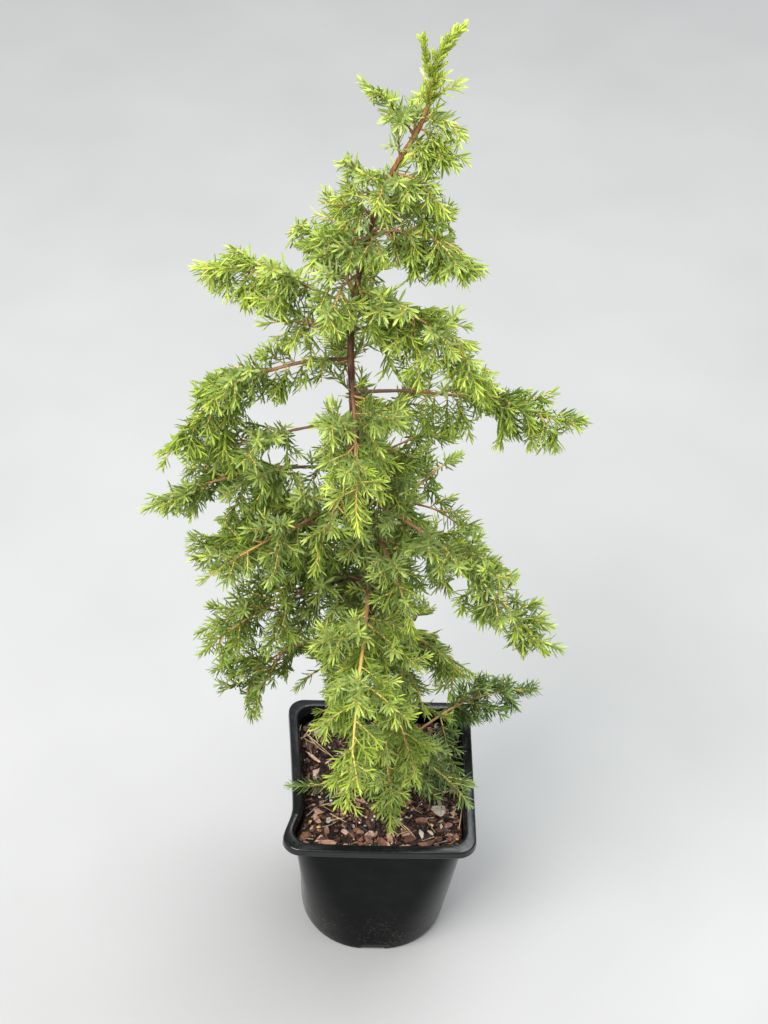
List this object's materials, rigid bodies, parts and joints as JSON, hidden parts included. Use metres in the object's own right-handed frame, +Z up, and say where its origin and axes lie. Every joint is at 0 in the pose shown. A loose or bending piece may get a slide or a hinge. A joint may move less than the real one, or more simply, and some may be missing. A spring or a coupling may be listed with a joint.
{
  "type": "potted juniper",
  "caption": "Young open-branched juniper with a leaning leader and arching boughs of short green needles, in a square black nursery pot filled with bark mix.",
  "frame": {"origin": "the middle of the pot's flat underside, on the ground", "axes": "+Z straight up from the pot's base to the leader; +X to the plant's right and +Y to its back, square with the pot's sides"},
  "size_m": [0.2836, 0.304, 0.7703],
  "materials": {
    "pot": "glossy black moulded plastic",
    "potting_mix": "damp composted bark",
    "bark": "thin reddish brown bark",
    "young_bark": "smooth tan and orange-brown young bark",
    "needles": "matte green needles, paler above"
  },
  "bodies": {
    "root": {"bough_front_3": "young_bark", "bough_front_5": "young_bark", "bough_left_10": "young_bark", "bough_left_11": "young_bark", "bough_left_13": "young_bark", "bough_left_14": "young_bark", "bough_left_6": "young_bark", "bough_left_8": "young_bark", "bough_left_9": "young_bark", "bough_right_10": "young_bark", "bough_right_13": "young_bark", "bough_right_7": "young_bark", "foliage_back_1": "needles", "foliage_back_2": "needles", "foliage_back_3": "needles", "foliage_back_4": "needles", "foliage_back_5": "needles", "foliage_back_6": "needles", "foliage_back_7": "needles", "foliage_back_8": "needles", "foliage_back_9": "needles", "foliage_front_1": "needles", "foliage_front_2": "needles", "foliage_front_3": "needles", "foliage_front_4": "needles", "foliage_front_5": "needles", "foliage_front_6": "needles", "foliage_front_7": "needles", "foliage_leader": "needles", "foliage_left_1": "needles", "foliage_left_10": "needles", "foliage_left_11": "needles", "foliage_left_12": "needles", "foliage_left_13": "needles", "foliage_left_14": "needles", "foliage_left_15": "needles", "foliage_left_2": "needles", "foliage_left_3": "needles", "foliage_left_4": "needles", "foliage_left_5": "needles", "foliage_left_6": "needles", "foliage_left_7": "needles", "foliage_left_8": "needles", "foliage_left_9": "needles", "foliage_right_1": "needles", "foliage_right_10": "needles", "foliage_right_11": "needles", "foliage_right_12": "needles", "foliage_right_13": "needles", "foliage_right_2": "needles", "foliage_right_3": "needles", "foliage_right_4": "needles", "foliage_right_5": "needles", "foliage_right_6": "needles", "foliage_right_7": "needles", "foliage_right_8": "needles", "foliage_right_9": "needles", "pot": "pot", "potting_mix": "potting_mix", "trunk": "bark"}
  },
  "joints": []
}
